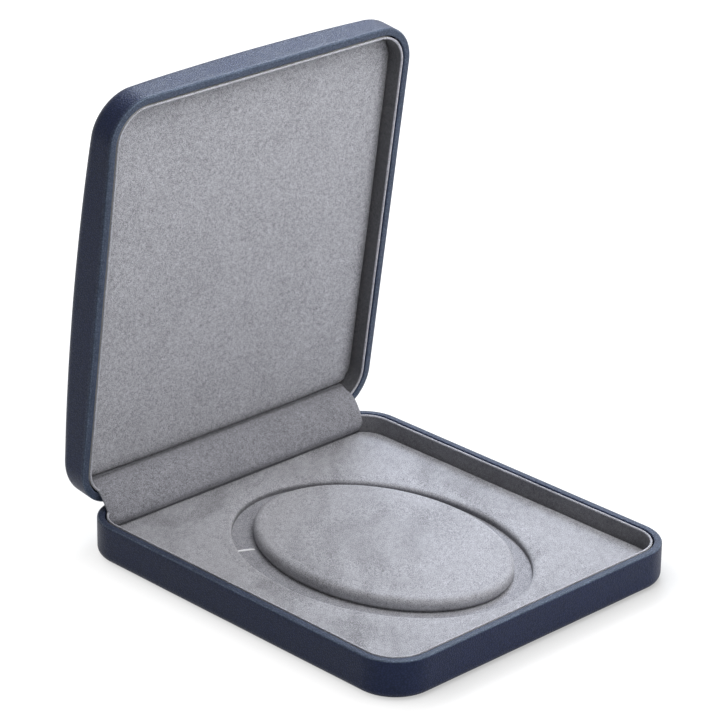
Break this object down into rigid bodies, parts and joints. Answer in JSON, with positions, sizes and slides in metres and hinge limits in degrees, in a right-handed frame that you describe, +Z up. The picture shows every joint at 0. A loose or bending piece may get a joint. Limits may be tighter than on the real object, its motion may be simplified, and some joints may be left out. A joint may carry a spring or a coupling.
{
  "type": "necklace box",
  "caption": "Low rounded-square necklace box in dark leatherette, shown open, with a domed hinged lid and a suede tray holding a raised oval pad.",
  "frame": {"origin": "centre of the bottom sheet's underside, the face that the box rests on", "axes": "+Z up, +Y towards the hinged back, +X to the right of someone facing the open front"},
  "size_m": [0.19, 0.2313, 0.2339],
  "materials": {
    "leatherette": "fine-grained, soft satin",
    "suede": "short matt nap",
    "shell_plastic": "moulded, matt",
    "lining_board": "grey-white board with cut edges",
    "foam": "open-cell sheet foam",
    "bottom_paper": "matt textured paper",
    "hinge_steel": "plain stamped strip, light zinc plating",
    "spring_steel": "drawn wire"
  },
  "bodies": {
    "base": {"base_shell": "shell_plastic", "base_wrap": "leatherette", "base_bottom_filler": "lining_board", "base_bottom_sheet": "bottom_paper", "base_collar_board": "lining_board", "base_collar_lining": "suede", "channel_card": "lining_board", "channel_lining": "suede", "insert_board": "lining_board", "insert_foam": "foam", "insert_cover": "suede", "oval_pad_board": "lining_board", "oval_pad_foam": "foam", "oval_pad_cover": "suede", "hinge_base_leaf": "hinge_steel", "hinge_base_screws": "hinge_steel", "hinge_pin": "spring_steel", "hinge_springs": "spring_steel", "hinge_cover": "suede"},
    "lid": {"lid_shell": "shell_plastic", "lid_top_foam": "foam", "lid_wrap": "leatherette", "lid_collar_board": "lining_board", "lid_collar_lining": "suede", "lid_pad_board": "lining_board", "lid_pad_foam": "foam", "lid_pad_cover": "suede", "hinge_lid_leaf": "hinge_steel", "hinge_lid_screws": "hinge_steel"}
  },
  "joints": [
    {"name": "lid_hinge", "type": "hinge", "parent": "base", "child": "lid", "pos_m": [0, 0.1063, 0.0207], "axis": [1, 0, 0], "range_deg": [0, 82], "deforming": ["hinge_cover", "hinge_springs"]}
  ]
}
